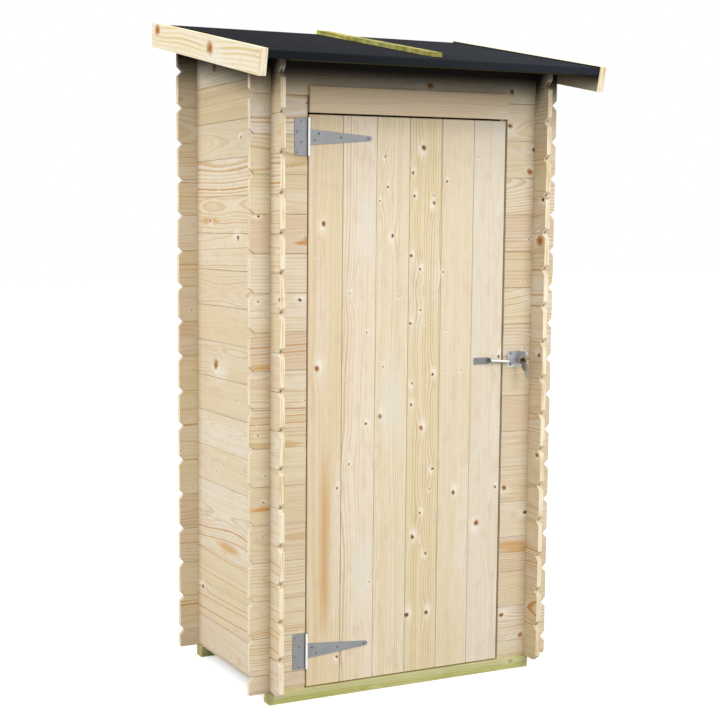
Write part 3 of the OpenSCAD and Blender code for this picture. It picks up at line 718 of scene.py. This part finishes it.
def finish_walls():
    half = LOG_HEIGHT / 2
    side = dict(pitch=LOG_HEIGHT, start=WALL_FOOT, shade=SIDE_SHADE, lines=1.25, tone=1.03, rosy=0.35)
    give(wood("logs_left", "Y", "Z", 3, face=SIDE_LOG[0].x, spots=LEFT_KNOTS, knots=0.05,
              flames=LEFT_FLAMES, **side), "left_logs", "left_gable_logs")
    give(wood("logs_right", "Y", "Z", 5, face=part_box("right_logs")[1].x, spots=RIGHT_KNOTS, **side),
         "right_logs", "right_gable_logs")
    front = dict(pitch=LOG_HEIGHT, start=WALL_FOOT - half, face=FRONT_SHORT[0].y, shade=FRONT_SHADE,
                 lines=1.25, tone=0.95)
    give(wood("logs_front_left", "X", "Z", 7, spots=FRONT_LEFT_KNOTS, pins=0.6,
              flames=FRONT_LEFT_FLAMES, **front), "front_logs_left")
    give(wood("logs_front_right", "X", "Z", 11, spots=FRONT_RIGHT_KNOTS, pins=0.4,
              flames=FRONT_RIGHT_FLAMES, **front), "front_logs_right")
    give(wood("log_front_top", "X", "Z", 13, spots=TOP_LOG_KNOTS, **front), "front_log_top")
    give(wood("logs_rear", "X", "Z", 17, pitch=LOG_HEIGHT, start=WALL_FOOT - half, face=REAR[1].y,
              shade=REAR_SHADE, lines=1.25, pins=0.6, tone=1.05), "rear_logs")


BLEACHED = rgb("E6DFD0")
TAN = rgb("CDA26C")
TAN_MIDDLE = 0.06
TAN_WIDTH = 0.017
HEADER_REACH = 0.07
HEADER_SHADE = 0.83


def door_marks(s):
    """Bleached patches, the first board's broad tan band lower down, and the shade of the header."""
    pale = s.nearest(s.along, s.across, s.places(DOOR_PALE), 4.0)
    s.colour = s.mix(s.step(pale, 0.4, 1.6, 0.6, 0.0), s.colour, BLEACHED)
    band = s.times(s.bell(s.inside, TAN_MIDDLE, TAN_WIDTH), s.math("LESS_THAN", s.row, 0.5))
    reach = s.times(s.step(s.along, 0.12, 0.35), s.step(s.along, 0.55, 0.85, 1.0, 0.0))
    s.colour = s.mix(s.times(s.times(band, reach), 0.8), s.colour, TAN)
    s.colour = s.shine(s.colour, s.step(s.along, DOOR[1].z - HEADER_REACH, DOOR[1].z, 1.0,
                                        HEADER_SHADE))


def barge_inside_shade(s):
    """The inner faces of the barge boards, with painted shade close under the roof."""
    at = s.place()
    inner = s.math("LESS_THAN", s.math("ABSOLUTE", at["X"]), ROOF[1].x + 0.001)
    left = s.step(s.below_roof(at), 0.0, 0.06, 0.04, 0.8)
    s.colour = s.shine(s.colour, s.mix_value(inner, 1.0, left))


def finish_boards():
    give(wood("door_boards", "Z", "X", 23, pitch=DOOR_COVER, start=DOOR[0].x, face=DOOR[0].y,
              spots=DOOR_KNOTS, tints=DOOR_TINTS, knots=0.0, pins=0.1, ghosts=0.15, lines=0.7,
              wave=0.6, bold=3, joint=(0.0018, 0.5), extra=door_marks, shade=DOOR_SHADE),
         "door_boards")
    give(wood("header_board", "X", "Z", 29, face=HEADER[0].y, shade=FRONT_SHADE, lines=1.2,
              knots=0.05), "header_board")
    give(wood("ledges", "X", "Z", 31, face=DOOR[1].y), "door_ledge_upper", "door_ledge_lower")
    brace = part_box("door_brace")
    lean = math.atan2(brace[1].x - brace[0].x, brace[1].z - brace[0].z)
    give(wood("brace", "Z", "X", 37, face=DOOR[1].y, turn=("Y", -lean)), "door_brace")
    give(wood("floor_boards", "Y", "X", 41, pitch=FLOOR_COVER, start=FLOOR[0].x, face=FLOOR[1].z),
         "floor_boards")
    give(wood("posts", "Z", "X", 43, face=DOOR[1].y), "door_post_left", "door_post_right",
         "door_stop_left", "door_stop_right")
    give(wood("roof_boards", "Y", "X", 47, pitch=ROOF_COVER, start=ROOF[0].x, face=ROOF[0].z,
              turn=("X", -ROOF_PITCH), tones=PAINTED_SHADE_TONES), "roof_boards")
    barge = dict(turn=("X", -ROOF_PITCH), ring=0.011, lines=1.25, tone=0.98, tones=PALE,
                 extra=barge_inside_shade)
    give(wood("barge_left", "Y", "Z", 53, bold=0, knots=0.1, spots=BARGE_KNOTS, **barge), "barge_left")
    give(wood("barge_right", "Y", "Z", 71, knots=0.3, **barge), "barge_right")


UPPER_TONE = rgb("D2CEA4")
UPPER_HEIGHT = 0.018
UPPER_WANDER = 0.006


def two_tone(s):
    """The bearer's upper part, paler than the lower one, with a wandering edge."""
    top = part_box("bearer_front")[1].z
    wander = s.noise(s.vector(s.times(s.along, 5), 0, 0), detail=1)
    level = s.plus(top - UPPER_HEIGHT, s.times(wander, UPPER_WANDER))
    upper = s.step(s.minus(s.across, level), -0.001, 0.001)
    s.colour = s.mix(s.times(upper, 0.5), s.colour, UPPER_TONE)


BATTEN_DARK = 0.72
BATTEN_LIGHT = 1.12
BATTEN_REAR = 1.45


def batten_marks(s):
    """The roof batten's slanting mottles, and its paler rear end."""
    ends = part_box("roof_batten")
    share = s.over(s.minus(s.place()["Y"], ends[0].y), ends[1].y - ends[0].y)
    slant = s.noise(s.vector(s.times(s.along, 28), s.times(s.across, 12), 0), detail=1)
    s.colour = s.shine(s.colour, s.step(slant, 0.36, 0.62, BATTEN_DARK, BATTEN_LIGHT))
    s.colour = s.shine(s.colour, s.step(share, 0.5, 0.85, 1.0, BATTEN_REAR))


def finish_treated():
    give(wood("treated_bearers", "X", "Z", 59, tones=TREATED, knots=0.35, cell=(0.12, 0.05), pins=0.7,
              lines=1.3, extra=two_tone), "bearer_front", "bearer_rear")
    # The eave lath's tones are brought down to near black: painted shade under the eave.
    give(wood("treated_lath", "X", "Y", 67, tones=deeper(TREATED, 0.15, 0.15, 0.15), knots=0.1),
         "eave_batten")
    give(wood("treated_batten", "Y", "X", 61, tones=deeper(TREATED, 0.70, 0.68, 0.44), knots=0.5,
              cell=(0.12, 0.05), pins=0.5, lines=1.4, turn=("X", -ROOF_PITCH),
              extra=batten_marks), "roof_batten")


def finish_metal():
    give(felt(), "roof_felt")
    give(steel("hinge_zinc", "8A8C8E", "939597", 0.6, 0.25, hinge_barrel),
         "hinge_plate_upper", "hinge_plate_lower", "hinge_strap_upper", "hinge_strap_lower")
    give(steel("keep_zinc", "A8AAAC", "BABCBE", 0.55, 0.2, keep_foot_light), "latch_keep")
    give(steel("arm_zinc", "797569", "8D897C", 0.5, 0.35, arm_shadow), "latch_arm")
    give(steel("bar_zinc", "767878", "818383", 0.5, 0.3, bar_shank), "latch_bar")
    give(steel("bright_zinc", "B0B2B4", "CACCCE", 0.3, 0.8), "hinge_pin_upper", "hinge_pin_lower",
         "latch_rivet")


# ---------------------------------------------------------------- screws

SCREW_R = 0.0040
SCREW_RISE = 0.0016
CROSS_HALF = 0.0005
CROSS_REACH = 0.0021
CROSS_DEEP = 0.0012
RINGS = 16
RECESS_RINGS = 5
SPOKES = 48

# Places of the screws as shares: of the wall plate's width out from the pin, and of its height; of
# the strap's length and height, from the pin; of the keep's height and of the strike plate's width.
PLATE_COLUMNS = (0.52, 0.83)
PLATE_TOP = 0.415
PLATE_STEP = 0.277
STRAP_SCREWS = ((0.165, 0.22), (0.095, -0.2), (0.505, 0), (0.935, 0))
KEEP_SCREWS = (0.15, 0.85)
KEEP_SCREW_IN = 0.014
STRIKE_SCREWS = (0.2, 0.8)


def cross_depth(x, z):
    """Depth of the cross recess at a point of the head."""
    arm = min(max(abs(x), abs(z)) / CROSS_REACH, 1)
    slot = min(abs(x), abs(z))
    return CROSS_DEEP * (1 - arm) if slot < CROSS_HALF and arm < 1 else 0


def add_screw(mesh, place, turn):
    """A domed head with a cross recess, looking along -Y, flat where it lies on the plate."""

    def point(r, angle):
        x = r * math.cos(angle)
        z = r * math.sin(angle)
        rise = SCREW_RISE * (1 - (r / SCREW_R) ** 2) ** 0.5
        cx = x * math.cos(turn) + z * math.sin(turn)
        cz = z * math.cos(turn) - x * math.sin(turn)
        return mesh.verts.new(place + Vector((x, cross_depth(cx, cz) - rise, z)))

    # Faces in the cross recess take the second finish, which is painted shade.
    loops = []
    for i in range(1, RINGS + 1):
        r = SCREW_R * math.sin(math.pi / 2 * i / RINGS)
        loops.append([point(r, 2 * math.pi * k / SPOKES) for k in range(SPOKES)])
    middle = point(0, 0)
    for k in range(SPOKES):
        mesh.faces.new((middle, loops[0][(k + 1) % SPOKES], loops[0][k])).material_index = 1
    for i, (inner, outer) in enumerate(zip(loops, loops[1:])):
        for k in range(SPOKES):
            n = (k + 1) % SPOKES
            face = mesh.faces.new((inner[k], inner[n], outer[n], outer[k]))
            face.material_index = 1 if i < RECESS_RINGS else 0
    mesh.faces.new(list(reversed(loops[-1])))


def screw_set(name, body, places, finishes):
    """All the screws of one fitting, as one piece."""
    chance = random.Random(name)
    mesh = bmesh.new()
    for place in places:
        add_screw(mesh, Vector(place), chance.uniform(0, math.pi / 2))
    bmesh.ops.recalc_face_normals(mesh, faces=mesh.faces)
    for face in mesh.faces:
        face.smooth = True
    data = bpy.data.meshes.new(name)
    mesh.to_mesh(data)
    mesh.free()
    piece = bpy.data.objects.new(name, data)
    bpy.context.scene.collection.objects.link(piece)
    for material in finishes:
        data.materials.append(material)
    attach(piece, body)


def hinge_screws(level, flip, sunk, finishes):
    """Screws of one hinge: four in the wall plate, four in the strap."""
    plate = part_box("hinge_plate_" + level)
    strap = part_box("hinge_strap_" + level)
    middle = (plate[0].z + plate[1].z) / 2
    tall = plate[1].z - plate[0].z
    wide = HINGE.x - plate[0].x
    front = plate[1].y - HINGE_T
    wall = [(HINGE.x - PLATE_COLUMNS[i % 2] * wide, front,
             middle + flip * tall * (PLATE_TOP - PLATE_STEP * i)) for i in range(4)]
    screw_set("screws_plate_" + level, "shed", wall, sunk)
    reach = strap[1].x - HINGE.x
    high = strap[1].z - strap[0].z
    door = [(HINGE.x + x * reach, front, middle + flip * z * high) for x, z in STRAP_SCREWS]
    screw_set("screws_strap_" + level, "door", door, finishes)


def latch_screws(finishes):
    """Screws of the latch: two in the keep's plate and two in the strike plate."""
    tall = KEEP[1].z - KEEP[0].z
    held = [(KEEP[0].x + KEEP_SCREW_IN, KEEP[1].y - LATCH_T, KEEP[0].z + part * tall)
            for part in KEEP_SCREWS]
    screw_set("screws_keep", "shed", held, finishes)
    struck = [(LATCH_BAR[0].x + part * STRIKE_W, LATCH_BAR[1].y - STRIKE_T, STRIKE_MIDDLE)
              for part in STRIKE_SCREWS]
    screw_set("screws_strike", "door", struck, finishes)


def build_screws():
    """All screws. Their cross recesses take a dark finish as painted shade; those on the hinges' wall
    plates are paler than the others.
    """
    head = steel("screw_zinc", "808284", "8E9092", 0.5, 0.4)
    sunk = (head, steel("screw_recess_soft", "68696B", "747678", 0.6, 0.2))
    finishes = (head, steel("screw_recess", "2A2C2E", "3A3C3E", 0.6, 0.2))
    hinge_screws("upper", 1, sunk, finishes)
    hinge_screws("lower", -1, sunk, finishes)
    latch_screws(finishes)


# ---------------------------------------------------------------- stage, light, camera

FLOOR_SIZE = 60
FLOOR_GAP = 0.0005
FLOOR_LIT = (0.30, 0.30, 0.295, 1)
FLOOR_SEEN = (0.75, 0.75, 0.75, 1)
FLOOR_GLOW = 0.45
SKY_LOW = 0.50
SKY_HIGH = 1.42
AIM = (0, 0, 1.0)
LAMP_SIZE = 4.0
FRONT_PLACE = (1.5, -5.6, 4.8)
FRONT_POWER = 231
LEFT_PLACE = (-5.8, 1.2, 4.6)
LEFT_POWER = 178

# The camera as fitted to the photograph: millimetres, shares of the frame, metres and degrees.
SENSOR = 36.0
LENS = 70.85
SHIFT = (0.1646, 0.0247)
CAMERA_PLACE = (-2.2405, -3.947, 1.4279)
CAMERA_DIP = 6.155
CAMERA_TURN = -24.375


def build_stage():
    """A pale floor, which camera and mirror rays see near white, with the shed's shadow."""
    bpy.ops.mesh.primitive_plane_add(size=FLOOR_SIZE, location=(0, 0, GROUND - FLOOR_GAP))
    floor = bpy.context.object
    floor.name = "floor"
    s = Shader("floor_paint")
    s.surface.inputs["Base Color"].default_value = FLOOR_LIT
    s.surface.inputs["Roughness"].default_value = 0.9
    path = s.add("ShaderNodeLightPath")
    seen = s.add("ShaderNodeBsdfDiffuse")
    seen.inputs["Color"].default_value = FLOOR_SEEN
    glow = s.add("ShaderNodeEmission")
    glow.inputs["Strength"].default_value = FLOOR_GLOW
    both = s.add("ShaderNodeAddShader")
    s.feed(seen.outputs[0], both.inputs[0])
    s.feed(glow.outputs[0], both.inputs[1])
    blend = s.add("ShaderNodeMixShader")
    shown = s.math("MAXIMUM", path.outputs["Is Camera Ray"], path.outputs["Is Glossy Ray"])
    s.feed(shown, blend.inputs[0])
    s.feed(s.surface.outputs[0], blend.inputs[1])
    s.feed(both.outputs[0], blend.inputs[2])
    s.feed(blend.outputs[0], s.tree.nodes["Material Output"].inputs["Surface"])
    floor.data.materials.append(s.material)


def build_world():
    """A soft dome, brighter overhead, that camera and mirror rays see as plain white."""
    world = bpy.data.worlds.new("studio")
    bpy.context.scene.world = world
    world.use_nodes = True
    tree = world.node_tree
    where = tree.nodes.new("ShaderNodeTexCoord")
    height = tree.nodes.new("ShaderNodeSeparateXYZ")
    tree.links.new(where.outputs["Generated"], height.inputs[0])
    dome = tree.nodes.new("ShaderNodeMapRange")
    dome.inputs["To Min"].default_value = SKY_LOW
    dome.inputs["To Max"].default_value = SKY_HIGH
    tree.links.new(height.outputs["Z"], dome.inputs["Value"])
    path = tree.nodes.new("ShaderNodeLightPath")
    shown = tree.nodes.new("ShaderNodeMath")
    shown.operation = "MAXIMUM"
    tree.links.new(path.outputs["Is Camera Ray"], shown.inputs[0])
    tree.links.new(path.outputs["Is Glossy Ray"], shown.inputs[1])
    level = tree.nodes.new("ShaderNodeMix")
    tree.links.new(shown.outputs[0], level.inputs["Factor"])
    tree.links.new(dome.outputs[0], level.inputs["A"])
    level.inputs["B"].default_value = 1.0
    tree.links.new(level.outputs["Result"], tree.nodes["Background"].inputs["Strength"])
    tree.nodes["Background"].inputs["Color"].default_value = (1, 1, 1, 1)


def add_lamp(name, place, power):
    """A round, soft lamp that looks at the shed's middle."""
    data = bpy.data.lights.new(name, "AREA")
    data.shape = "DISK"
    data.size = LAMP_SIZE
    data.energy = power
    lamp = bpy.data.objects.new(name, data)
    bpy.context.scene.collection.objects.link(lamp)
    lamp.location = place
    lamp.rotation_euler = (Vector(AIM) - Vector(place)).to_track_quat("-Z", "Y").to_euler()


def build_light():
    build_world()
    add_lamp("front_box", FRONT_PLACE, FRONT_POWER)
    add_lamp("left_box", LEFT_PLACE, LEFT_POWER)


def build_camera():
    """The photograph's camera."""
    data = bpy.data.cameras.new("camera")
    data.sensor_width = SENSOR
    data.lens = LENS
    data.shift_x, data.shift_y = SHIFT
    camera = bpy.data.objects.new("camera", data)
    camera.location = CAMERA_PLACE
    camera.rotation_euler = (math.radians(90 - CAMERA_DIP), 0, math.radians(CAMERA_TURN))
    bpy.context.scene.collection.objects.link(camera)
    bpy.context.scene.camera = camera


build_camera()
finish_walls()
finish_boards()
finish_treated()
finish_metal()
build_screws()
build_stage()
build_light()
bpy.context.scene.view_settings.view_transform = "Standard"
